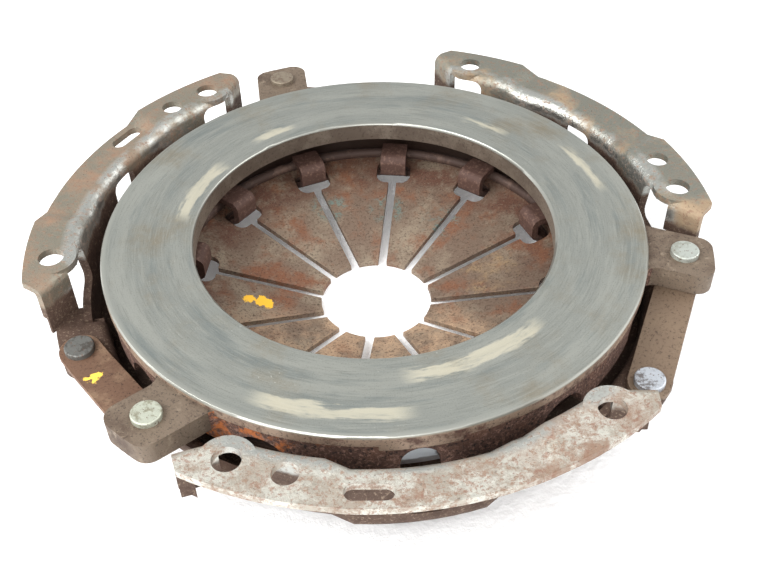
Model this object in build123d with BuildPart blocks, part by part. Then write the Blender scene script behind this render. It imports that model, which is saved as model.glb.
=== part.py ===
from math import atan2, cos, degrees, hypot, radians, sin, tan
import os

from build123d import *

os.makedirs("parts", exist_ok=True)

# Clutch cover assembly, millimetres. The origin is the centre of the bolt circle on the
# flange face that meets the flywheel, +Z points to the flywheel.

# three flange sectors, each with a bolt hole at both ends and a dowel hole beside one of them
# the flange's outer radius drives the other radii
rim_r = 122.8
sector_centres = (30, 150, 270)
sector_half = 38.5
bolt_circle = rim_r - 9.3
bolt_offset = 30
bolt_hole = 8.9
dowel_offset = -21
dowel_hole = 8.2
slotted_sectors = (150, 270)
slot_offset, slot_r = -9, rim_r - 7
slot_length, slot_width = 14.6, 5.6

# pressed cover
sheet = 2.6
wall_r = rim_r - 17.8
foot_wall_r = wall_r - 3.1
bulge_foot_r = wall_r + 0.5
bulge_to = 10
gap_wall_r = wall_r - 6.5
gap_foot_r = gap_wall_r - 0.5
waist_inset, waist_drop = 1.4, 2.5
waist_from, waist_to, ramp = -16, 20, 4
bend_r = 4.0
corner_r = 5
boss_r = 8.8
ledge_drop = 18.9
ledge_r = rim_r - 6.8
ledge_corner_r = 6
strip_r = wall_r - 1.5
ledge_end = 50.8
foot_r = 7.6
fold_in = (rim_r - 15, 33.8)
fold_out = (rim_r - 5.7, 38.4)

# cast pressure plate
face_z = -2.1
plate_r = wall_r - 8
bore_r = plate_r - 32.2
bore_depth = 7.5
rim_depth = 4.2
casting_r = plate_r - 1
casting_depth = 17.5
pad_half = 7.6
pad_lip = 6.2
ridge_r = plate_r - 9.2
ridge_round = 2.0
ridge_gap = 0.1
lug_depth_top, lug_depth_bottom = 2, 10
lug_reach = rim_r - 3.2

# diaphragm spring, a cone that rises outwards, and the circle it tilts about
fulcrum_r = ridge_r - 12.6
spring_tip_r = 21
spring_depth = 23.62
spring_slope = 12.87
spring_r = ridge_r + 2.2
spring_thick = 2.2
finger_count = 12
finger_slot = 3.3
window_out = fulcrum_r - 2.6
window_in, window_width = window_out - 11.4, 14

# fulcrum wires and cover tabs
wire_r = 1.95
tab_width = 10.4
tab_face_r = fulcrum_r - 11
tab_end_r = fulcrum_r + 0.2
floor_edge_r = fulcrum_r - 1.6
floor_join_r = fulcrum_r + 6.8
tab_lean = 37
tab_throat = 1.2

# drive straps, one pack between each lug and ledge
strap_bisectors = (89.4, 209.4, 329.4)
strap_half_pitch = 25.75
strap_v = wall_r + 1.4
strap_width = 14.2
leaf = 0.6
leaf_count = 3
strap_flat = 8.2
strap_rise = 5.0

# rivets
shank_r = 3.0
rivet_fit = 0.05
lug_head_r, lug_head = 4.9, 2.0
ledge_head_r, ledge_head = 5.1, 2.0
tail_r, tail = 4.5, 1.7

slope = tan(radians(spring_slope))
lean = 1 / cos(radians(spring_slope))
ledge_z = -ledge_drop
strap_top = face_z - lug_depth_bottom


def spring_top(r):
    return face_z - spring_depth + (r - fulcrum_r) * slope


def spring_bottom(r):
    return spring_top(r) - spring_thick * lean


def section(angle):
    a = radians(angle)
    return Plane(origin=(0, 0, 0), x_dir=(cos(a), sin(a), 0), z_dir=(sin(a), -cos(a), 0))


def polar(r, angle, z=0):
    return (r * cos(radians(angle)), r * sin(radians(angle)), z)


def radial_plane(r, angle, z):
    a = radians(angle)
    return Plane(origin=polar(r, angle, z), x_dir=(-sin(a), cos(a), 0), z_dir=(cos(a), sin(a), 0))


upper_wire_z = spring_top(fulcrum_r) + wire_r * lean
lower_wire_z = spring_bottom(fulcrum_r) - wire_r * lean
floor_z = lower_wire_z - wire_r
tab_top = upper_wire_z + wire_r + sheet
tab_knee_z = face_z - 26


def cover_section(angle, shape):
    """Floor, foot, wall, bend and flange of the cover in the half plane at an angle."""
    top, rim, wall, foot = shape
    with BuildSketch(section(angle)) as drawn:
        with BuildLine():
            Polyline((floor_join_r, floor_z), (foot, floor_z), (wall, top), (rim, top), (rim, top - sheet),
                     (wall + sheet, top - sheet), (foot + sheet, floor_z - sheet),
                     (floor_join_r, floor_z - sheet), close=True)
        make_face()
        for r, z, bend in ((foot, floor_z, foot_r - sheet), (wall, top, bend_r),
                           (wall + sheet, top - sheet, bend_r - sheet),
                           (foot + sheet, floor_z - sheet, foot_r)):
            corner = drawn.vertices().sort_by(lambda v: hypot(v.X - r, v.Y - z))[0]
            fillet(corner, bend)
    return drawn.sketch


def sweep_section(start, stop, shape):
    with BuildPart() as swept:
        add(cover_section(start, shape))
        revolve(axis=Axis.Z, revolution_arc=stop - start)
    return swept.part


def ramp_between(start, stop, first, second):
    with BuildPart() as lofted:
        add(cover_section(start, first))
        add(cover_section(stop, second))
        loft(ruled=True)
    return lofted.part


# one third of the cover drawn about 0 degrees: pads, lower waist with a bulged wall, and the gap
pad = (0, rim_r, wall_r, foot_wall_r)
waist = (-waist_drop, rim_r - waist_inset, wall_r, foot_wall_r)
bulge = (-waist_drop, rim_r - waist_inset, wall_r + 1, bulge_foot_r)
window_from = wall_r - 8
window_top, window_bottom = -sheet, ledge_z + 1.3
ledge = (ledge_z, ledge_r, gap_wall_r, gap_foot_r)
strip = (ledge_z, strip_r, gap_wall_r, gap_foot_r)
with BuildPart() as flange:
    add(sweep_section(-sector_half, waist_from, pad))
    add(ramp_between(waist_from, waist_from + ramp, pad, bulge))
    add(sweep_section(waist_from + ramp, bulge_to, bulge))
    add(ramp_between(bulge_to, bulge_to + ramp, bulge, waist))
    add(sweep_section(bulge_to + ramp, waist_to - ramp, waist))
    add(ramp_between(waist_to - ramp, waist_to, waist, pad))
    add(sweep_section(waist_to, sector_half, pad))
    # rounded flange ends
    with BuildSketch(Plane.XY.offset(-6)) as trim:
        Circle(rim_r + 5)
        with BuildSketch(mode=Mode.PRIVATE) as kept:
            with BuildLine():
                Line(polar(50, -sector_half), polar(rim_r, -sector_half))
                ThreePointArc(polar(rim_r, -sector_half), (rim_r, 0), polar(rim_r, sector_half))
                Line(polar(rim_r, sector_half), polar(50, sector_half))
                ThreePointArc(polar(50, sector_half), (50, 0), polar(50, -sector_half))
            make_face()
            fillet(kept.vertices().filter_by(lambda v: hypot(v.X, v.Y) > 60), corner_r)
        add(kept.sketch, mode=Mode.SUBTRACT)
    extrude(amount=8, mode=Mode.SUBTRACT)
    # bosses round the bolts keep the flange whole above the wall windows
    with Locations(polar(bolt_circle, bolt_offset), polar(bolt_circle, -bolt_offset)):
        Cylinder(boss_r, sheet, align=(Align.CENTER, Align.CENTER, Align.MAX))
    # where the lower walls step in at the sector ends, a web joins them
    for side in (-1, 1):
        with BuildSketch(section(side * (sector_half - 0.7)).offset(-sheet / 2)):
            with BuildLine():
                Polyline((wall_r + 2, ledge_z - 0.5), (wall_r - 1, ledge_z - sheet),
                         (foot_wall_r, floor_z - sheet / 2), (gap_foot_r - 3, floor_z - sheet / 2),
                         (gap_wall_r + 1, ledge_z - sheet / 2), close=True)
            make_face()
        extrude(amount=sheet)
    # wall windows: one beside each bolt and one in the middle
    for side in (-1, 1):
        window_mid = (window_top + window_bottom) / 2
        with BuildSketch(radial_plane(window_from, side * (bolt_offset + 1.2), window_mid)):
            RectangleRounded(20.4, window_top - window_bottom, 3.5)
        extrude(amount=13.5, mode=Mode.SUBTRACT)
    with BuildSketch(radial_plane(window_from, 0, -16.4)):
        RectangleRounded(13.6, 17.6, 3.5)
    extrude(amount=13.5, mode=Mode.SUBTRACT)
    # at each end the flange is cut back to a slanting fold, bent down there and joined to the ledge
    for side in (-1, 1):
        inner = Vector(*polar(fold_in[0], side * fold_in[1]))
        outer = Vector(*polar(fold_out[0], side * fold_out[1]))
        along = (outer - inner).normalized()
        across = Vector(side * along.Y, -side * along.X, 0)
        with BuildSketch(Plane.XY.offset(window_bottom)):
            with BuildLine():
                Polyline(polar(window_from, side * bolt_offset), inner + across * bend_r,
                         outer + across * bend_r, outer - across,
                         polar(window_from, side * (sector_half + 2)), close=True)
            make_face()
            with Locations(polar(bolt_circle, side * bolt_offset)):
                Circle(boss_r, mode=Mode.SUBTRACT)
        extrude(amount=-ledge_z, mode=Mode.SUBTRACT)
        with BuildSketch(Plane(origin=inner, x_dir=across, z_dir=-along * side)) as fold:
            low = ledge_z - sheet / 2
            with BuildLine():
                Polyline((bend_r + 0.3, 0), (0, 0), (0, low), (sheet, low), (sheet, -sheet),
                         (bend_r + 0.3, -sheet), close=True)
            make_face()
            for x, z, bend in ((0, 0, bend_r), (sheet, -sheet, bend_r - sheet)):
                fillet(fold.vertices().sort_by(lambda v: hypot(v.X - x, v.Y - z))[0], bend)
        extrude(amount=-side * (outer - inner).length)
        with BuildSketch(section(side * fold_in[1])):
            with Locations(((wall_r - 1 + ledge_r) / 2, ledge_z - sheet / 2)):
                Rectangle(ledge_r - wall_r + 1, sheet)
        revolve(axis=Axis.Z, revolution_arc=side * (sector_half - fold_in[1]))
    # ledge that carries a cover rivet, narrow strip behind the lug, short return at the next sector
    gap_end = 120 - sector_half
    add(sweep_section(sector_half, ledge_end, ledge))
    add(sweep_section(ledge_end, gap_end - 2.4, strip))
    add(sweep_section(gap_end - 2.4, gap_end, ledge))
    tip = Vector(*polar(ledge_r, ledge_end, ledge_z - sheet / 2))
    fillet(flange.edges().filter_by(Axis.Z).sort_by(lambda e: (e.center() - tip).length)[0], ledge_corner_r)

# a hooked cover tab in its own half plane: in from the floor, up through the spring, out over the wire
with BuildPart() as tab:
    with BuildSketch(Plane.XZ) as tab_profile:
        run = tab_knee_z - (floor_z - sheet)
        throat_r = fulcrum_r - tab_throat
        heel_r = tab_face_r + 0.6 + run / tan(radians(tab_lean))
        with BuildLine():
            Polyline((floor_edge_r + 1.2, floor_z - sheet), (heel_r, floor_z - sheet),
                     (tab_face_r + 0.6, tab_knee_z),
                     (tab_face_r, tab_knee_z + 1.2), (tab_face_r, tab_top), (tab_end_r, tab_top),
                     (tab_end_r, tab_top - sheet), (tab_face_r + sheet, tab_top - sheet),
                     (tab_face_r + sheet, floor_z + (throat_r - tab_face_r - sheet) * tan(radians(tab_lean))),
                     (throat_r, floor_z),
                     (floor_edge_r + 1.2, floor_z), close=True)
        make_face()
        for r, z, bend in ((tab_face_r, tab_top, 3.4), (tab_face_r + sheet, tab_top - sheet, 0.9),
                           (heel_r, floor_z - sheet, 3)):
            fillet(tab_profile.vertices().sort_by(lambda v: hypot(v.X - r, v.Y - z))[0], bend)
    extrude(amount=tab_width / 2, both=True)

with BuildPart() as cover:
    with BuildSketch(Plane.XY.offset(floor_z - sheet)):
        Circle(floor_join_r)
        Circle(floor_edge_r, mode=Mode.SUBTRACT)
    extrude(amount=sheet)
    with PolarLocations(0, finger_count, start_angle=180 / finger_count):
        add(tab.part)
    for angle in sector_centres:
        add(flange.part.moved(Location((0, 0, 0), (0, 0, angle))))
    # holes through the flange and the ledges
    bolts = [polar(bolt_circle, c + s * bolt_offset) for c in sector_centres for s in (-1, 1)]
    dowels = [polar(bolt_circle, c + dowel_offset) for c in sector_centres]
    with Locations(*bolts):
        Cylinder(bolt_hole / 2, 12, mode=Mode.SUBTRACT)
    with Locations(*dowels):
        Cylinder(dowel_hole / 2, 12, mode=Mode.SUBTRACT)
    for centre in slotted_sectors:
        angle = centre + slot_offset
        with BuildSketch(Plane.XY):
            with Locations(Location(polar(slot_r, angle), (0, 0, angle + 90))):
                SlotOverall(slot_length, slot_width)
        extrude(amount=12, both=True, mode=Mode.SUBTRACT)
    for bisector in strap_bisectors:
        x, y, _ = polar(hypot(strap_v, strap_half_pitch), bisector - degrees(atan2(strap_half_pitch, strap_v)))
        with Locations((x, y, ledge_z)):
            Cylinder(shank_r + rivet_fit, 12, mode=Mode.SUBTRACT)
cover.part.label = "cover"
export_step(cover.part, "parts/cover.step")

# pressure plate: turned ring, cast skirt with vents, three lugs
plate_back = face_z - bore_depth
skirt_z = face_z - casting_depth
ridge_z = spring_top(ridge_r) + ridge_round * lean + ridge_gap
with BuildPart() as plate:
    with BuildSketch(Plane.XZ):
        with BuildLine():
            Polyline((bore_r, face_z - 0.8), (bore_r + 0.8, face_z), (plate_r - 0.5, face_z),
                     (plate_r, face_z - 0.5), (plate_r, face_z - rim_depth), (casting_r, face_z - rim_depth - 0.5),
                     (casting_r, skirt_z), (ridge_r + ridge_round + 1.5, skirt_z - 0.6),
                     (ridge_r + ridge_round, ridge_z))
            ThreePointArc((ridge_r + ridge_round, ridge_z), (ridge_r, ridge_z - ridge_round),
                          (ridge_r - ridge_round, ridge_z))
            Polyline((ridge_r - ridge_round, ridge_z), (84.6, face_z - 12), (79, plate_back - 1.6),
                     (bore_r, plate_back), (bore_r, face_z - 0.8))
        make_face()
    revolve(axis=Axis.Z)
    for centre in sector_centres:
        with BuildSketch(section(centre - pad_half)):
            with Locations((plate_r - 2, face_z - pad_lip / 2 - 1)):
                Rectangle(4, pad_lip - 2)
        revolve(axis=Axis.Z, revolution_arc=2 * pad_half)
    # lugs, with fillets where they leave the ring
    lug_u0, lug_u1 = 15.35, 36.3
    for bisector in strap_bisectors:
        with BuildSketch(Plane.XY.offset(face_z - lug_depth_bottom)) as lug:
            Circle(casting_r)
            with BuildSketch(mode=Mode.PRIVATE) as reach:
                with Locations(Location((0, 0, 0), (0, 0, bisector - 90))):
                    with Locations((-(lug_u0 + lug_u1) / 2, 60)):
                        Rectangle(lug_u1 - lug_u0, 130)
                Circle(lug_reach, mode=Mode.INTERSECT)
                fillet(reach.vertices().filter_by(lambda v: hypot(v.X, v.Y) > 110), 5.5)
            add(reach.sketch)
            roots = lug.vertices().filter_by(lambda v: abs(hypot(v.X, v.Y) - casting_r) < 0.05)
            fillet([v for v in roots if hypot(v.X, v.Y) > 1], 5)
            Circle(casting_r - 6, mode=Mode.SUBTRACT)
        extrude(amount=lug_depth_bottom - lug_depth_top)
    # pads with narrow vents at the sector centres, wide vents between them
    for angle in range(0, 360, 30):
        on_pad = angle % 120 == 30
        if on_pad:
            with BuildSketch(radial_plane(casting_r - 1, angle, (face_z - pad_lip + skirt_z) / 2 - 2)):
                Rectangle(2 * casting_r * sin(radians(pad_half)), casting_depth - pad_lip + 4)
            extrude(amount=3, mode=Mode.SUBTRACT)
        half = 6.3 if on_pad else 8.6
        with BuildSketch(radial_plane(82, angle, face_z - 9)):
            with BuildLine():
                Polyline((-half, -20), (-half, -6))
                ThreePointArc((-half, -6), (0, 0), (half, -6))
                Polyline((half, -6), (half, -20), (-half, -20))
            make_face()
        extrude(amount=20, mode=Mode.SUBTRACT)
    for bisector in strap_bisectors:
        x, y, _ = polar(hypot(strap_v, strap_half_pitch), bisector + degrees(atan2(strap_half_pitch, strap_v)))
        with Locations((x, y, strap_top)):
            Cylinder(shank_r + rivet_fit, 30, mode=Mode.SUBTRACT)
plate.part.label = "pressure_plate"
export_step(plate.part, "parts/pressure_plate.step")

# diaphragm spring
with BuildPart() as spring:
    with BuildSketch(Plane.XZ):
        with BuildLine():
            Polyline((spring_tip_r, spring_top(spring_tip_r)), (spring_r, spring_top(spring_r)),
                     (spring_r, spring_bottom(spring_r)), (spring_tip_r, spring_bottom(spring_tip_r)), close=True)
        make_face()
    revolve(axis=Axis.Z)
    with BuildSketch(Plane.XY.offset(spring_top(spring_tip_r) - 10)):
        with PolarLocations(0, finger_count, start_angle=180 / finger_count):
            with Locations(((spring_tip_r + window_in) / 2, 0)):
                Rectangle(window_in - spring_tip_r + 8, finger_slot)
            with Locations(((window_in + window_out) / 2, 0)):
                RectangleRounded(window_out - window_in, window_width, 3.8)
    extrude(amount=60, mode=Mode.SUBTRACT)
spring.part.label = "diaphragm_spring"
export_step(spring.part, "parts/diaphragm_spring.step")

# fulcrum wires
for name, z in (("fulcrum_wire_upper", upper_wire_z), ("fulcrum_wire_lower", lower_wire_z)):
    with BuildPart() as wire:
        with Locations((0, 0, z)):
            Torus(fulcrum_r, wire_r)
    wire.part.label = name
    export_step(wire.part, "parts/" + name + ".step")

# drive strap leaves, flat on the ledge and under the lug, sloping between
strap_low = strap_top - strap_rise
flat_u = strap_half_pitch - strap_flat
end_u = strap_half_pitch + strap_width / 2
for pack, bisector in enumerate(strap_bisectors, 1):
    frame = Plane(origin=(0, 0, 0), x_dir=polar(1, bisector + 90), z_dir=(0, 0, 1))
    for number in range(leaf_count):
        with BuildPart(frame) as strap:
            high, low = strap_top - number * leaf, strap_low - number * leaf
            with BuildSketch(Plane(frame.origin, x_dir=frame.x_dir, z_dir=-frame.y_dir)):
                with BuildLine():
                    Polyline((-end_u, low), (-flat_u, low), (flat_u, high), (end_u, high), (end_u, high - leaf),
                             (flat_u, high - leaf), (-flat_u, low - leaf), (-end_u, low - leaf), close=True)
                make_face()
            extrude(amount=140)
            with BuildSketch(frame.offset(low - 5)):
                with Locations((0, -strap_v)):
                    SlotOverall(2 * end_u, strap_width)
                with Locations((-strap_half_pitch, -strap_v), (strap_half_pitch, -strap_v)):
                    Circle(shank_r + rivet_fit, mode=Mode.SUBTRACT)
            extrude(amount=30, mode=Mode.INTERSECT)
        name = "strap_%d_leaf_%d" % (pack, number + 1)
        strap.part.label = name
        export_step(strap.part, "parts/" + name + ".step")

# rivets: a turned head above, the shank, and the upset tail below
def rivet(name, at, top, bottom, head_r, head):
    with BuildPart() as made:
        with BuildSketch(Plane.XZ) as profile:
            with BuildLine():
                Polyline((0, top + head), (head_r, top + head), (head_r, top), (shank_r, top), (shank_r, bottom),
                         (tail_r, bottom), (tail_r, bottom - tail), (0, bottom - tail), close=True)
            make_face()
            ends = profile.vertices().filter_by(
                lambda v: v.X > shank_r + 0.1 and (v.Y > top + 0.1 or v.Y < bottom - 0.1))
            fillet(ends, 0.5)
        revolve(axis=Axis.Z)
    placed = made.part.moved(Location(at))
    placed.label = name
    export_step(placed, "parts/" + name + ".step")


pack_height = leaf_count * leaf
pitch_r, pitch_angle = hypot(strap_v, strap_half_pitch), degrees(atan2(strap_half_pitch, strap_v))
for pack, bisector in enumerate(strap_bisectors, 1):
    rivet("lug_rivet_%d" % pack, polar(pitch_r, bisector + pitch_angle), face_z - lug_depth_top,
          strap_top - pack_height, lug_head_r, lug_head)
    rivet("cover_rivet_%d" % pack, polar(pitch_r, bisector - pitch_angle), strap_low,
          ledge_z - sheet, ledge_head_r, ledge_head)
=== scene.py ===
from math import cos, sin, radians

import bpy
from mathutils import Matrix, Vector


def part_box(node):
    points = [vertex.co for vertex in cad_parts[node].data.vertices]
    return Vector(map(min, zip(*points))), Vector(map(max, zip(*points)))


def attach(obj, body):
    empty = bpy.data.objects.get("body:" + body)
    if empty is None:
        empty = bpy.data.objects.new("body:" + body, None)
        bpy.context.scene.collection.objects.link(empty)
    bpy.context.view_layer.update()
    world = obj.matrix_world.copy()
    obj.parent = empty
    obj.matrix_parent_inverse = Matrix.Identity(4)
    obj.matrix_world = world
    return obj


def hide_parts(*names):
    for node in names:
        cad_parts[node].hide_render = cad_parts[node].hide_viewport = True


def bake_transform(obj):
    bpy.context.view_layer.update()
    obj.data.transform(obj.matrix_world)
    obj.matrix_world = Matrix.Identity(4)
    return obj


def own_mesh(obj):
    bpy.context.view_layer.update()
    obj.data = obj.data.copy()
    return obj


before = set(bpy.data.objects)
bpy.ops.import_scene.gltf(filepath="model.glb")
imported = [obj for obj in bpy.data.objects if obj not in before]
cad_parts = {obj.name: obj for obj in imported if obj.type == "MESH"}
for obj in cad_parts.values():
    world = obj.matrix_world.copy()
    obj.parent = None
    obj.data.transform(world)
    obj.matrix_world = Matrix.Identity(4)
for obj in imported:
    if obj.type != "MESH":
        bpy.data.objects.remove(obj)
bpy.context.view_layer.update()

print("frame loaded, pieces:", len(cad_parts))


def onCircle(radius, degreesRound):
    turn = radians(degreesRound)
    return Vector((radius * cos(turn), radius * sin(turn), 0))


def pickOnly(piece):
    bpy.ops.object.select_all(action="DESELECT")
    piece.select_set(True)
    bpy.context.view_layer.objects.active = piece


meshCare = {"weld": 0.000003, "flatWithin": 0.5, "smoothBelow": 35}


def workingCopy(nodeName, pieceName):
    # the frame's mesh is loose triangles, so the copy is welded and its flat faces are joined
    piece = bpy.data.objects.new(pieceName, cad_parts[nodeName].data.copy())
    bpy.context.scene.collection.objects.link(piece)
    pickOnly(piece)
    bpy.ops.object.mode_set(mode="EDIT")
    bpy.ops.mesh.select_all(action="SELECT")
    bpy.ops.mesh.remove_doubles(threshold=meshCare["weld"])
    bpy.ops.mesh.dissolve_limited(angle_limit=radians(meshCare["flatWithin"]))
    bpy.ops.object.mode_set(mode="OBJECT")
    return piece


def breakEdges(piece, width, sharpFrom=38, steps=2):
    pickOnly(piece)
    bevel = piece.modifiers.new("brokenEdge", "BEVEL")
    bevel.limit_method = "ANGLE"
    bevel.angle_limit = radians(sharpFrom)
    bevel.width = width
    bevel.segments = steps
    bpy.ops.object.modifier_apply(modifier=bevel.name)
    bpy.ops.object.shade_smooth_by_angle(angle=radians(meshCare["smoothBelow"]))
    even = piece.modifiers.new("evenShading", "WEIGHTED_NORMAL")
    even.keep_sharp = True
    bpy.ops.object.modifier_apply(modifier=even.name)


def wear(piece, *skins):
    piece.data.materials.clear()
    for skin in skins:
        piece.data.materials.append(skin["material"])


def standIn(nodeName):
    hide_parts(nodeName)


# skins: each finish starts plain, is coated layer by layer, and is then closed


def startSkin(name, colour, rough, metal):
    material = bpy.data.materials.new(name)
    material.use_nodes = True
    tree = material.node_tree
    place = tree.nodes.new("ShaderNodeTexCoord").outputs["Object"]
    skin = {"material": material, "tree": tree, "place": place,
            "Base Color": (*colour, 1), "Roughness": rough, "Metallic": metal, "height": None}
    return skin


def addNode(skin, kind, settings, *values):
    node = skin["tree"].nodes.new(kind)
    for key, value in settings.items():
        setattr(node, key, value)
    for index, value in enumerate(values):
        if isinstance(value, bpy.types.NodeSocket):
            skin["tree"].links.new(value, node.inputs[index])
        elif value is not None:
            node.inputs[index].default_value = value
    return node


def calc(skin, operation, a, b=0.0, clamp=False):
    return addNode(skin, "ShaderNodeMath", {"operation": operation, "use_clamp": clamp}, a, b).outputs[0]


def times(skin, a, b):
    return calc(skin, "MULTIPLY", a, b)


def band(skin, value, low, high):
    # 0 below low, 1 above high, or the other way round when low is the larger
    smooth = {"interpolation_type": "SMOOTHSTEP"}
    return addNode(skin, "ShaderNodeMapRange", smooth, value, low, high, 0.0, 1.0).outputs[0]


def grain(skin, scale, detail=4.0, roughness=0.6, along=None):
    source = along if along is not None else skin["place"]
    node = addNode(skin, "ShaderNodeTexNoise", {}, source)
    node.inputs["Scale"].default_value = scale
    node.inputs["Detail"].default_value = detail
    node.inputs["Roughness"].default_value = roughness
    return node.outputs["Fac"]


def patches(skin, scale, low, high, detail=4.0, roughness=0.6, along=None):
    return band(skin, grain(skin, scale, detail, roughness, along), low, high)


def coat(skin, mask, colour=None, rough=None, metal=None):
    layers = (("Base Color", colour and (*colour, 1)), ("Roughness", rough), ("Metallic", metal))
    for key, value in layers:
        if value is None:
            continue
        isColour = key == "Base Color"
        mix = skin["tree"].nodes.new("ShaderNodeMix")
        mix.data_type = "RGBA" if isColour else "FLOAT"
        slots = (0, 6, 7) if isColour else (0, 2, 3)
        for slot, item in zip(slots, (mask, skin[key], value)):
            if isinstance(item, bpy.types.NodeSocket):
                skin["tree"].links.new(item, mix.inputs[slot])
            else:
                mix.inputs[slot].default_value = item
        skin[key] = mix.outputs[2 if isColour else 0]


def raiseBy(skin, amount, depth):
    lifted = times(skin, amount, depth)
    skin["height"] = lifted if skin["height"] is None else calc(skin, "ADD", skin["height"], lifted)


def closeSkin(skin):
    tree = skin["tree"]
    shader = tree.nodes["Principled BSDF"]
    for key in ("Base Color", "Roughness", "Metallic"):
        if isinstance(skin[key], bpy.types.NodeSocket):
            tree.links.new(skin[key], shader.inputs[key])
        else:
            shader.inputs[key].default_value = skin[key]
    if skin["height"] is not None:
        node = tree.nodes.new("ShaderNodeBump")
        node.inputs["Strength"].default_value = 1.0
        node.inputs["Distance"].default_value = 1.0
        tree.links.new(skin["height"], node.inputs["Height"])
        tree.links.new(node.outputs["Normal"], shader.inputs["Normal"])
    return skin


def axisPlaces(skin):
    # distance from the clutch axis, direction round it, and height
    split = addNode(skin, "ShaderNodeSeparateXYZ", {}, skin["place"]).outputs
    flat = addNode(skin, "ShaderNodeCombineXYZ", {}, split[0], split[1]).outputs[0]
    radius = addNode(skin, "ShaderNodeVectorMath", {"operation": "LENGTH"}, flat).outputs["Value"]
    heading = addNode(skin, "ShaderNodeVectorMath", {"operation": "NORMALIZE"}, flat).outputs[0]
    return radius, heading, split[2]


def towards(skin, heading, degreesRound, halfWidth, soft=4.0):
    # 1 within halfWidth degrees of a direction
    dot = addNode(skin, "ShaderNodeVectorMath", {"operation": "DOT_PRODUCT"}, heading,
                  onCircle(1, degreesRound)).outputs["Value"]
    return band(skin, dot, cos(radians(halfWidth + soft)), cos(radians(halfWidth)))


def turned(skin, heading, radius, around, across):
    # coordinates that run round the axis, for lathe marks and wiped streaks
    scaled = addNode(skin, "ShaderNodeVectorMath", {"operation": "SCALE"}, heading)
    scaled.inputs["Scale"].default_value = around
    split = addNode(skin, "ShaderNodeSeparateXYZ", {}, scaled.outputs[0]).outputs
    return addNode(skin, "ShaderNodeCombineXYZ", {}, split[0], split[1],
                   times(skin, radius, across)).outputs[0]


def dab(skin, centre, size, ragged):
    # a ragged spot of paint or polish round a point
    apart = {"operation": "DISTANCE"}
    gap = addNode(skin, "ShaderNodeVectorMath", apart, skin["place"], centre).outputs["Value"]
    wander = times(skin, calc(skin, "SUBTRACT", grain(skin, 260, 5, 0.65), 0.5), ragged)
    return band(skin, calc(skin, "ADD", gap, wander), size, size * 0.86)


faceLook = {
    "iron": (0.305, 0.318, 0.292), "pale": (0.375, 0.385, 0.350), "blue": (0.230, 0.255, 0.245),
    "warm": (0.27, 0.24, 0.18), "cream": (0.47, 0.435, 0.33), "speck": (0.48, 0.49, 0.45),
    "line": (0.185, 0.195, 0.175), "pit": (0.12, 0.12, 0.105), "edge": (0.42, 0.42, 0.38),
    # direction, half width in degrees, inner and outer radius of each dried streak
    "streaks": ((253, 14.5, 0.0850, 0.0912), (288.5, 18, 0.0705, 0.0772), (152.5, 13, 0.0668, 0.0735),
                (116, 5, 0.0700, 0.0745), (45.5, 5, 0.0745, 0.0790), (14, 8, 0.0850, 0.0890)),
    "streakEdge": 0.0016, "streakRagged": 0.009, "streakTaper": 3, "streakSoft": 7,
    # directions are followed by their half width and soft edge in degrees
    "specksAt": (235, 40, 40), "rimHighlightAt": (225, 45, 30), "rimHighlightFrom": (0.0945, 0.0962),
    "outerEdge": (0.0960, 0.0966), "innerEdge": (0.0660, 0.0652),
}


def frictionSkin():
    skin = startSkin("frictionFace", faceLook["iron"], 0.40, 0.8)
    radius, heading = axisPlaces(skin)[:2]
    wide = turned(skin, heading, radius, 1.4, 130)
    fine = turned(skin, heading, radius, 7.0, 1500)
    worn = turned(skin, heading, radius, 6.0, 420)
    coat(skin, patches(skin, 1.0, 0.40, 0.70, 3, 0.5, wide), faceLook["pale"], 0.36)
    coat(skin, patches(skin, 1.4, 0.46, 0.72, 4, 0.6, wide), faceLook["blue"])
    coat(skin, patches(skin, 30, 0.48, 0.74, 6, 0.65), faceLook["warm"], 0.46)
    coat(skin, times(skin, patches(skin, 1.0, 0.46, 0.66, 5, 0.7, fine), 0.55), faceLook["pale"], 0.48)
    coat(skin, times(skin, patches(skin, 1.3, 0.50, 0.68, 5, 0.7, fine), 0.4), faceLook["line"], 0.45)
    coat(skin, times(skin, patches(skin, 1900, 0.52, 0.70, 3, 0.7), 0.35), faceLook["pit"], 0.5)
    for direction, halfWidth, inner, outer in faceLook["streaks"]:
        wander = calc(skin, "SUBTRACT", grain(skin, 1.0, 6, 0.65, worn), 0.5)
        place = calc(skin, "ADD", radius, times(skin, wander, faceLook["streakRagged"]))
        ring = times(skin, band(skin, place, inner, inner + faceLook["streakEdge"]),
                     band(skin, place, outer, outer - faceLook["streakEdge"]))
        reach = halfWidth - faceLook["streakTaper"]
        here = times(skin, ring, towards(skin, heading, direction, reach, faceLook["streakSoft"]))
        thin = times(skin, here, patches(skin, 1.0, 0.22, 0.52, 6, 0.75, worn))
        coat(skin, times(skin, thin, 0.7), faceLook["cream"], 0.6, 0.3)
    specks = times(skin, patches(skin, 1300, 0.62, 0.70, 5, 0.7), patches(skin, 60, 0.52, 0.62))
    specks = times(skin, specks, towards(skin, heading, *faceLook["specksAt"]))
    coat(skin, specks, faceLook["speck"], 0.6, 0.3)
    # painted highlight: the outer rim of the face is made paler towards the front left
    paintedHighlight = band(skin, radius, *faceLook["rimHighlightFrom"])
    coat(skin, times(skin, paintedHighlight, towards(skin, heading, *faceLook["rimHighlightAt"])), faceLook["pale"], 0.42)
    # painted highlight: a paler line along the outer and inner edges of the face
    edges = calc(skin, "ADD", band(skin, radius, *faceLook["outerEdge"]),
                 band(skin, radius, *faceLook["innerEdge"]), True)
    coat(skin, times(skin, edges, 0.6), faceLook["edge"], 0.4)
    raiseBy(skin, grain(skin, 1.0, 4, 0.7, fine), 0.000012)
    raiseBy(skin, grain(skin, 1500, 3, 0.6), 0.000012)
    return closeSkin(skin)


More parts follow.
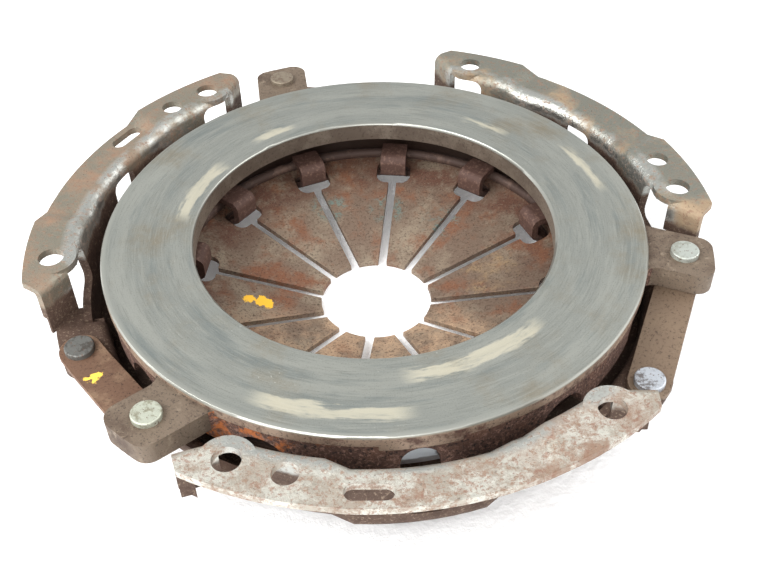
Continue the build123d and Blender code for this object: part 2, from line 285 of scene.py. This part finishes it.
castLook = {
    "brown": (0.085, 0.043, 0.031), "pale": (0.27, 0.155, 0.115), "dark": (0.016, 0.010, 0.008),
    "orange": (0.40, 0.12, 0.03), "lug": (0.150, 0.112, 0.080), "lugDark": (0.080, 0.052, 0.036),
    "rim": (0.31, 0.225, 0.165), "red": (0.120, 0.058, 0.038), "lugPale": (0.23, 0.18, 0.13),
    "lip": (0.30, 0.27, 0.22), "lipFrom": (-0.0034, -0.0028), "orangeAt": (236, 9, 12),
    "bore": (0.240, 0.200, 0.165), "boreRear": (0.110, 0.085, 0.066), "boreRearAt": (85, 55, 45),
    "borePale": (0.26, 0.22, 0.175), "borePit": (0.05, 0.034, 0.026),
}


def castSkin():
    skin = startSkin("rustyCasting", castLook["brown"], 0.85, 0.05)
    heading = axisPlaces(skin)[1]
    coat(skin, patches(skin, 90, 0.48, 0.64, 6, 0.7), castLook["red"])
    coat(skin, patches(skin, 900, 0.50, 0.62, 5, 0.75), castLook["pale"], 0.8)
    coat(skin, patches(skin, 700, 0.54, 0.64, 4, 0.7), castLook["dark"], 0.9)
    film = patches(skin, 160, 0.50, 0.62, 7, 0.75)
    coat(skin, times(skin, film, towards(skin, heading, *castLook["orangeAt"])), castLook["orange"])
    raiseBy(skin, grain(skin, 800, 4, 0.7), 0.0006)
    return closeSkin(skin)


def lugSkin():
    skin = startSkin("lugIron", castLook["lug"], 0.62, 0.3)
    coat(skin, patches(skin, 60, 0.44, 0.66, 7, 0.7), castLook["lugDark"], 0.7)
    coat(skin, patches(skin, 220, 0.54, 0.70, 6, 0.7), castLook["lugPale"], 0.58)
    coat(skin, times(skin, patches(skin, 1300, 0.54, 0.66, 4, 0.7), 0.7), castLook["dark"])
    raiseBy(skin, grain(skin, 900, 4, 0.7), 0.0002)
    return closeSkin(skin)


def rimSkin():
    skin = startSkin("turnedRim", castLook["rim"], 0.5, 0.5)
    height = axisPlaces(skin)[2]
    coat(skin, patches(skin, 120, 0.46, 0.64, 6, 0.7), castLook["brown"], 0.7, 0.2)
    coat(skin, times(skin, patches(skin, 1200, 0.54, 0.66, 4, 0.7), 0.7), castLook["dark"], 0.8)
    coat(skin, band(skin, height, *castLook["lipFrom"]), castLook["lip"], 0.42)
    raiseBy(skin, grain(skin, 900, 4, 0.7), 0.00015)
    return closeSkin(skin)


def boreSkin():
    skin = startSkin("boreWall", castLook["bore"], 0.5, 0.55)
    heading = axisPlaces(skin)[1]
    coat(skin, towards(skin, heading, *castLook["boreRearAt"]), castLook["boreRear"])
    coat(skin, times(skin, patches(skin, 80, 0.45, 0.66, 6, 0.7), 0.4), castLook["borePale"], 0.46)
    coat(skin, times(skin, patches(skin, 900, 0.52, 0.66, 5, 0.7), 0.6), castLook["borePit"], 0.7)
    raiseBy(skin, grain(skin, 700, 4, 0.7), 0.00012)
    return closeSkin(skin)


plateShape = {
    "edge": 0.0003, "sharpFrom": 55, "chamfer": 0.0009, "faceHeight": -0.0021, "faceTilt": 0.35,
    "rimRadius": 0.0962, "rimFoot": -0.0064, "boreRadius": 0.0655, "boreTilt": -0.5, "lugRadius": 0.0985,
}


def dressPlate():
    plate = workingCopy("pressure_plate", "pressurePlate")
    breakEdges(plate, plateShape["edge"], plateShape["sharpFrom"])
    wear(plate, castSkin(), frictionSkin(), lugSkin(), rimSkin(), boreSkin())
    cast, ground, lug, rim, bore = range(5)
    for face in plate.data.polygons:
        place, out = face.center, face.normal
        radius = Vector((place.x, place.y)).length
        outward = (out.x * place.x + out.y * place.y) / max(radius, 0.001)
        high = place.z > plateShape["faceHeight"] - plateShape["chamfer"]
        if high and out.z > plateShape["faceTilt"] and radius < plateShape["lugRadius"]:
            face.material_index = ground
        elif radius > plateShape["lugRadius"]:
            face.material_index = lug
        elif radius > plateShape["rimRadius"] and place.z > plateShape["rimFoot"]:
            face.material_index = rim
        elif radius < plateShape["boreRadius"] and outward < plateShape["boreTilt"]:
            face.material_index = bore
        else:
            face.material_index = cast
    standIn("pressure_plate")
    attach(plate, "plate")


dressPlate()
print("pressure plate dressed")


coverLook = {
    "front": (0.38, 0.345, 0.290), "left": (0.235, 0.218, 0.172), "right": (0.215, 0.215, 0.180),
    "rust": (0.215, 0.125, 0.080), "darkRust": (0.055, 0.03, 0.02), "wall": (0.075, 0.043, 0.029),
    "wallPale": (0.23, 0.17, 0.12), "tab": (0.075, 0.037, 0.027), "tabPale": (0.165, 0.095, 0.070),
    "bright": (0.56, 0.55, 0.49), "redRust": (0.20, 0.090, 0.055), "orange": (0.30, 0.155, 0.085),
    "tan": (0.30, 0.22, 0.14), "polishAndShine": (0.46, 0.47, 0.44),
    "leftAt": (150, 50, 8), "rightAt": (30, 50, 8), "frontAt": (270, 50, 8), "frontRustAt": (294, 5, 8),
    "bendFrom": (0.1035, 0.1050), "bendTo": (0.1115, 0.1085), "wallFrom": (-0.0045, -0.0075),
    "wallRagged": 0.005, "tabFrom": (0.083, 0.081),
}


def coverSkin():
    skin = startSkin("coverSteel", coverLook["front"], 0.42, 0.7)
    radius, heading, height = axisPlaces(skin)
    onLeft = towards(skin, heading, *coverLook["leftAt"])
    onRight = towards(skin, heading, *coverLook["rightAt"])
    onFront = towards(skin, heading, *coverLook["frontAt"])
    coat(skin, onLeft, coverLook["left"], 0.46)
    coat(skin, onRight, coverLook["right"], 0.40)
    # broad films of rust, then worn bright metal, then fine grain
    film = times(skin, onRight, patches(skin, 26, 0.50, 0.62, 6, 0.65))
    coat(skin, film, coverLook["tan"], 0.6, 0.3)
    film = times(skin, onLeft, patches(skin, 30, 0.44, 0.70, 8, 0.75))
    coat(skin, times(skin, film, 0.8), coverLook["orange"], 0.65, 0.2)
    film = times(skin, onFront, patches(skin, 100, 0.48, 0.62, 9, 0.80))
    coat(skin, times(skin, film, 0.8), coverLook["rust"], 0.62, 0.3)
    film = patches(skin, 70, 0.50, 0.72, 9, 0.78)
    coat(skin, times(skin, film, 0.5), coverLook["rust"], 0.62, 0.3)
    bare = times(skin, onFront, patches(skin, 64, 0.46, 0.56, 9, 0.8))
    coat(skin, bare, coverLook["bright"], 0.36, 0.75)
    film = times(skin, towards(skin, heading, *coverLook["frontRustAt"]),
                 patches(skin, 90, 0.40, 0.56, 8, 0.8))
    coat(skin, times(skin, film, 0.75), coverLook["rust"], 0.65, 0.3)
    speckle = times(skin, onFront, patches(skin, 420, 0.52, 0.60, 7, 0.8))
    coat(skin, times(skin, speckle, 0.7), coverLook["redRust"], 0.7, 0.25)
    # the rolled inner bend gets a painted highlight, on glossier metal
    paintedHighlight = times(skin, band(skin, radius, *coverLook["bendFrom"]), band(skin, radius, *coverLook["bendTo"]))
    coat(skin, times(skin, paintedHighlight, patches(skin, 45, 0.40, 0.56, 6, 0.65)), coverLook["polishAndShine"], 0.28, 0.9)
    speckle = patches(skin, 520, 0.52, 0.62, 6, 0.75)
    coat(skin, times(skin, speckle, 0.75), coverLook["rust"], 0.7, 0.2)
    speckle = patches(skin, 1100, 0.58, 0.66, 5, 0.75)
    coat(skin, times(skin, speckle, 0.8), coverLook["darkRust"], 0.8, 0.1)
    # the walls under the flange are darker brown, with a ragged upper limit
    drop = calc(skin, "ADD", height, times(skin, grain(skin, 120, 6, 0.65), coverLook["wallRagged"]))
    low = band(skin, drop, *coverLook["wallFrom"])
    coat(skin, low, coverLook["wall"], 0.82, 0.1)
    coat(skin, times(skin, low, patches(skin, 1000, 0.53, 0.66, 5, 0.75)), coverLook["wallPale"], 0.75)
    coat(skin, times(skin, low, patches(skin, 110, 0.48, 0.62, 6, 0.7)), coverLook["darkRust"], 0.9)
    inner = band(skin, radius, *coverLook["tabFrom"])
    coat(skin, inner, coverLook["tab"], 0.7, 0.15)
    coat(skin, times(skin, inner, patches(skin, 700, 0.50, 0.66, 6, 0.75)), coverLook["tabPale"])
    raiseBy(skin, grain(skin, 900, 5, 0.7), 0.00026)
    raiseBy(skin, grain(skin, 120, 4, 0.6), 0.0003)
    return closeSkin(skin)


coverShape = {
    "edge": 0.0005, "sectors": (30, 150, 270),
    "foldOutRadius": 0.1171, "foldOutTurn": 38.4, "foldInRadius": 0.1078, "foldInTurn": 33.8,
    # spans along the fold from its outer end, inward across it, and in height
    "tipCut": ((-0.0001, 0.0100), (-0.0060, 0.0120), (-0.0031, 0.0031)),
    "legCut": ((-0.0140, -0.0046), (-0.0005, 0.0090), (-0.0260, -0.0135)),
    "cornerCut": ((0.0003, 0.0060), (-0.0075, 0.0090), (-0.0260, -0.0135)),
    "ledgeCut": ((-0.0140, 0.0020), (0.0009, 0.0090), (-0.0260, -0.0135)),
}


def foldBox(centre, side, spans):
    inner = onCircle(coverShape["foldInRadius"], centre + side * coverShape["foldInTurn"])
    outer = onCircle(coverShape["foldOutRadius"], centre + side * coverShape["foldOutTurn"])
    along = (outer - inner).normalized()
    across = Vector((side * along.y, -side * along.x, 0))
    middles = [(low + high) / 2 for low, high in spans]
    place = outer + along * middles[0] + across * middles[1] + Vector((0, 0, middles[2]))
    bpy.ops.object.select_all(action="DESELECT")
    bpy.ops.mesh.primitive_cube_add(size=1, location=place)
    box = bpy.context.object
    box.scale = [high - low for low, high in spans]
    box.rotation_euler = (0, 0, along.to_2d().angle_signed(Vector((1, 0))))
    bpy.ops.object.transform_apply(location=True, rotation=True, scale=True)
    return box


def fileFolds(cover):
    # the sliver past each fold is filed off, each leg that carries no rivet is cut back to a foot,
    # and the ledge under a rivet is kept inside its flange
    boxes = []
    for centre in coverShape["sectors"]:
        for side, cuts in ((-1, ("tipCut", "legCut", "cornerCut")), (1, ("tipCut", "ledgeCut"))):
            boxes += [foldBox(centre, side, coverShape[cut]) for cut in cuts]
    for box in boxes:
        pickOnly(cover)
        filed = cover.modifiers.new("filed", "BOOLEAN")
        filed.operation = "DIFFERENCE"
        filed.solver = "EXACT"
        filed.object = box
        bpy.ops.object.modifier_apply(modifier=filed.name)
        bpy.data.objects.remove(box)


def dressCover():
    cover = workingCopy("cover", "clutchCover")
    fileFolds(cover)
    breakEdges(cover, coverShape["edge"])
    wear(cover, coverSkin())
    standIn("cover")
    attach(cover, "cover")


dressCover()
print("cover dressed")


springLook = {
    "brown": (0.185, 0.128, 0.092), "pale": (0.300, 0.240, 0.175), "dark": (0.045, 0.024, 0.016),
    "rust": (0.185, 0.076, 0.038), "rootRust": (0.105, 0.045, 0.027), "front": (0.47, 0.32, 0.205),
    "tan": (0.32, 0.215, 0.115), "teal": (0.15, 0.195, 0.170), "fleck": (0.33, 0.27, 0.20),
    "polish": (0.72, 0.76, 0.80), "paint": (0.92, 0.50, 0.03),
    "rootFrom": (0.050, 0.066), "frontAt": (262, 50, 35), "frontFrom": (0.068, 0.058),
    "rimFrom": (0.076, 0.080), "polishFrom": (0.078, 0.081), "polishAt": (275, 9, 5),
    # each spot has its place, size and raggedness
    "tanSpot": ((0.0455, 0.001, -0.0315), 0.011, 0.040),
    "tealHeight": -0.0315, "tealSize": 0.010, "tealRagged": 0.030, "paintSize": 0.0027, "paintRagged": 0.010,
    "paintAt": ((-0.0478, 0.0010, -0.0332), (-0.0440, -0.0006, -0.0325), (-0.0413, -0.0014, -0.0320)),
    "tealSpots": ((0.0115, 0.0455), (0.0315, 0.0335), (-0.012, 0.050)),
}


def springSkin():
    skin = startSkin("springSteel", springLook["brown"], 0.52, 0.5)
    radius, heading = axisPlaces(skin)[:2]
    coat(skin, patches(skin, 38, 0.42, 0.66, 7, 0.7), springLook["pale"], 0.48, 0.55)
    coat(skin, patches(skin, 52, 0.48, 0.64, 7, 0.72), springLook["rust"], 0.66, 0.25)
    root = times(skin, band(skin, radius, *springLook["rootFrom"]), patches(skin, 120, 0.38, 0.60, 6, 0.7))
    coat(skin, root, springLook["rootRust"], 0.7, 0.2)
    # the near fingers are more orange, one on the right is tan
    near = times(skin, towards(skin, heading, *springLook["frontAt"]),
                 band(skin, radius, *springLook["frontFrom"]))
    coat(skin, times(skin, near, patches(skin, 45, 0.38, 0.62, 7, 0.72)), springLook["front"], 0.6, 0.3)
    spot = times(skin, dab(skin, *springLook["tanSpot"]), patches(skin, 120, 0.40, 0.70, 7, 0.75))
    coat(skin, spot, springLook["tan"], 0.6, 0.25)
    for x, y in springLook["tealSpots"]:
        place = (x, y, springLook["tealHeight"])
        spot = dab(skin, place, springLook["tealSize"], springLook["tealRagged"])
        coat(skin, times(skin, spot, patches(skin, 260, 0.48, 0.60, 6, 0.7)), springLook["teal"], 0.5)
    coat(skin, times(skin, patches(skin, 1100, 0.50, 0.64, 6, 0.75), 0.75), springLook["dark"], 0.72)
    coat(skin, times(skin, patches(skin, 1500, 0.56, 0.68, 5, 0.75), 0.6), springLook["fleck"], 0.5)
    coat(skin, band(skin, radius, *springLook["rimFrom"]), springLook["dark"], 0.7, 0.2)
    polishAndShine = times(skin, band(skin, radius, *springLook["polishFrom"]),
                     towards(skin, heading, *springLook["polishAt"]))
    coat(skin, polishAndShine, springLook["polish"], 0.3, 0.9)
    for place in springLook["paintAt"]:
        spot = dab(skin, place, springLook["paintSize"], springLook["paintRagged"])
        coat(skin, spot, springLook["paint"], 0.45, 0.0)
    raiseBy(skin, grain(skin, 900, 5, 0.7), 0.00012)
    return closeSkin(skin)


springShape = {"edge": 0.0003, "pivotHeight": -0.02685, "flattenTo": 0.25}
wireLook = {"brown": (0.060, 0.035, 0.027), "pale": (0.13, 0.080, 0.060), "smoothBelow": 40}


def dressSpring():
    spring = workingCopy("diaphragm_spring", "diaphragmSpring")
    breakEdges(spring, springShape["edge"])
    wear(spring, springSkin())
    standIn("diaphragm_spring")
    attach(spring, "cover")
    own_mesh(spring)


def dressWires():
    skin = startSkin("fulcrumWire", wireLook["brown"], 0.7, 0.3)
    coat(skin, patches(skin, 160, 0.50, 0.66, 5, 0.7), wireLook["pale"], 0.6)
    closeSkin(skin)
    for name in ("fulcrum_wire_upper", "fulcrum_wire_lower"):
        wear(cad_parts[name], skin)
        pickOnly(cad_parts[name])
        bpy.ops.object.shade_smooth_by_angle(angle=radians(wireLook["smoothBelow"]))


dressSpring()
dressWires()
print("spring and wires dressed")


strapShape = {
    "bisectors": (89.4, 209.4, 329.4), "radius": 0.1064, "bendHalf": 0.0175, "cuts": 12, "edge": 0.00012,
}
strapLook = {
    "brown": (0.165, 0.092, 0.058), "pale": (0.270, 0.175, 0.110), "dark": (0.035, 0.020, 0.015),
    "right": (0.185, 0.135, 0.092), "rightAt": (329.4, 22, 6),
    "paint": (0.97, 0.66, 0.08), "paintSpot": ((-0.0999, -0.0444, -0.0133), 0.0034, 0.008),
}


def strapSkin():
    skin = startSkin("strapSteel", strapLook["brown"], 0.55, 0.4)
    heading = axisPlaces(skin)[1]
    coat(skin, patches(skin, 60, 0.46, 0.66, 7, 0.7), strapLook["pale"], 0.5)
    coat(skin, times(skin, towards(skin, heading, *strapLook["rightAt"]), 0.8), strapLook["right"], 0.48)
    coat(skin, times(skin, patches(skin, 1000, 0.52, 0.66, 5, 0.75), 0.75), strapLook["dark"], 0.75)
    coat(skin, dab(skin, *strapLook["paintSpot"]), strapLook["paint"], 0.45, 0.0)
    raiseBy(skin, grain(skin, 800, 4, 0.7), 0.00015)
    return closeSkin(skin)


def bendableLeaf(nodeName, pieceName, bisector, skin):
    leaf = workingCopy(nodeName, pieceName)
    middle = onCircle(strapShape["radius"], bisector)
    along = onCircle(1, bisector + 90)
    bpy.ops.object.mode_set(mode="EDIT")
    for cut in range(strapShape["cuts"] + 1):
        step = (2 * cut / strapShape["cuts"] - 1) * strapShape["bendHalf"]
        bpy.ops.mesh.select_all(action="SELECT")
        bpy.ops.mesh.bisect(plane_co=middle + along * step, plane_no=along)
    bpy.ops.object.mode_set(mode="OBJECT")
    breakEdges(leaf, strapShape["edge"], steps=1)
    wear(leaf, skin)
    standIn(nodeName)
    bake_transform(leaf)


def dressStraps():
    skin = strapSkin()
    for pack, bisector in enumerate(strapShape["bisectors"], 1):
        for number in (1, 2, 3):
            place = (pack, number)
            bendableLeaf("strap_%d_leaf_%d" % place, "strap%dLeaf%d" % place, bisector, skin)


dressStraps()
print("straps dressed")


rivetPit = (0.12, 0.08, 0.06)
rivetLook = {
    # plating, worn plating and roughness
    "lug_rivet_1": ((0.24, 0.20, 0.15), (0.15, 0.11, 0.08), 0.55),
    "lug_rivet_2": ((0.44, 0.46, 0.38), (0.24, 0.23, 0.17), 0.5),
    "lug_rivet_3": ((0.44, 0.47, 0.43), (0.30, 0.31, 0.27), 0.38),
    "cover_rivet_1": ((0.17, 0.13, 0.10), (0.09, 0.06, 0.045), 0.6),
    "cover_rivet_2": ((0.150, 0.152, 0.142), (0.075, 0.068, 0.060), 0.5),
    "cover_rivet_3": ((0.46, 0.49, 0.53), (0.16, 0.15, 0.15), 0.42),
}


def dressRivets():
    for name, (plated, dull, rough) in rivetLook.items():
        skin = startSkin(name + "Plating", plated, rough, 0.6)
        coat(skin, patches(skin, 300, 0.46, 0.62, 5, 0.7), dull, rough + 0.15)
        coat(skin, patches(skin, 900, 0.60, 0.68, 3, 0.6), rivetPit, 0.8, 0.2)
        raiseBy(skin, grain(skin, 700, 4, 0.7), 0.0002)
        closeSkin(skin)
        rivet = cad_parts[name]
        wear(rivet, skin)
        pickOnly(rivet)
        bpy.ops.object.shade_smooth_by_angle(angle=radians(meshCare["smoothBelow"]))


dressRivets()
print("rivets dressed")


room = {
    "floorSize": 6.0, "floorColour": (0.91, 0.915, 0.92), "glow": 0.11, "sky": (1.0, 1.0, 1.0),
    "skyStrength": 0.78,
}


def layFloor():
    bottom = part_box("diaphragm_spring")[0].z
    bpy.ops.object.select_all(action="DESELECT")
    bpy.ops.mesh.primitive_plane_add(size=room["floorSize"], location=(0, 0, bottom))
    floor = bpy.context.object
    floor.name = "paleFloor"
    skin = startSkin("paleFloor", room["floorColour"], 0.6, 0.0)
    raiseBy(skin, grain(skin, 260, 3, 0.6), 0.0006)
    closeSkin(skin)
    shader = skin["tree"].nodes["Principled BSDF"]
    shader.inputs["Emission Color"].default_value = (1, 1, 1, 1)
    shader.inputs["Emission Strength"].default_value = room["glow"]
    wear(floor, skin)


lamps = (
    # name, place, size, power
    ("keyLamp", (-0.85, -0.15, 0.80), 0.9, 17),
    ("fillLamp", (0.90, 0.00, 0.75), 0.9, 9),
    ("frontLamp", (-0.30, -0.95, 0.45), 0.8, 9),
)


def hangLamps():
    for name, place, size, power in lamps:
        light = bpy.data.lights.new(name, "AREA")
        light.shape = "DISK"
        light.size = size
        light.energy = power
        lamp = bpy.data.objects.new(name, light)
        bpy.context.scene.collection.objects.link(lamp)
        lamp.location = place
        lamp.rotation_euler = (-Vector(place)).to_track_quat("-Z", "Y").to_euler()
    world = bpy.data.worlds.new("softRoom")
    world.use_nodes = True
    sky = world.node_tree.nodes["Background"]
    sky.inputs["Color"].default_value = (*room["sky"], 1)
    sky.inputs["Strength"].default_value = room["skyStrength"]
    bpy.context.scene.world = world
    bpy.context.scene.view_settings.view_transform = "Standard"


view = {
    "place": (-0.0355, -0.2832, 0.2329), "lookAt": (-0.00146, -0.0333, -0.00213),
    "lens": 48.07, "sensor": 36.0, "roll": 1.5, "clipStart": 0.01,
}


def setCamera():
    data = bpy.data.cameras.new("viewCamera")
    data.lens = view["lens"]
    data.sensor_width = view["sensor"]
    data.clip_start = view["clipStart"]
    camera = bpy.data.objects.new("viewCamera", data)
    bpy.context.scene.collection.objects.link(camera)
    place, target = Vector(view["place"]), Vector(view["lookAt"])
    aim = (target - place).to_track_quat("-Z", "Y").to_matrix().to_4x4()
    roll = Matrix.Rotation(radians(-view["roll"]), 4, "Z")
    camera.matrix_world = Matrix.Translation(place) @ aim @ roll
    bpy.context.scene.camera = camera


layFloor()
hangLamps()
setCamera()
print("floor, lamps and camera set")
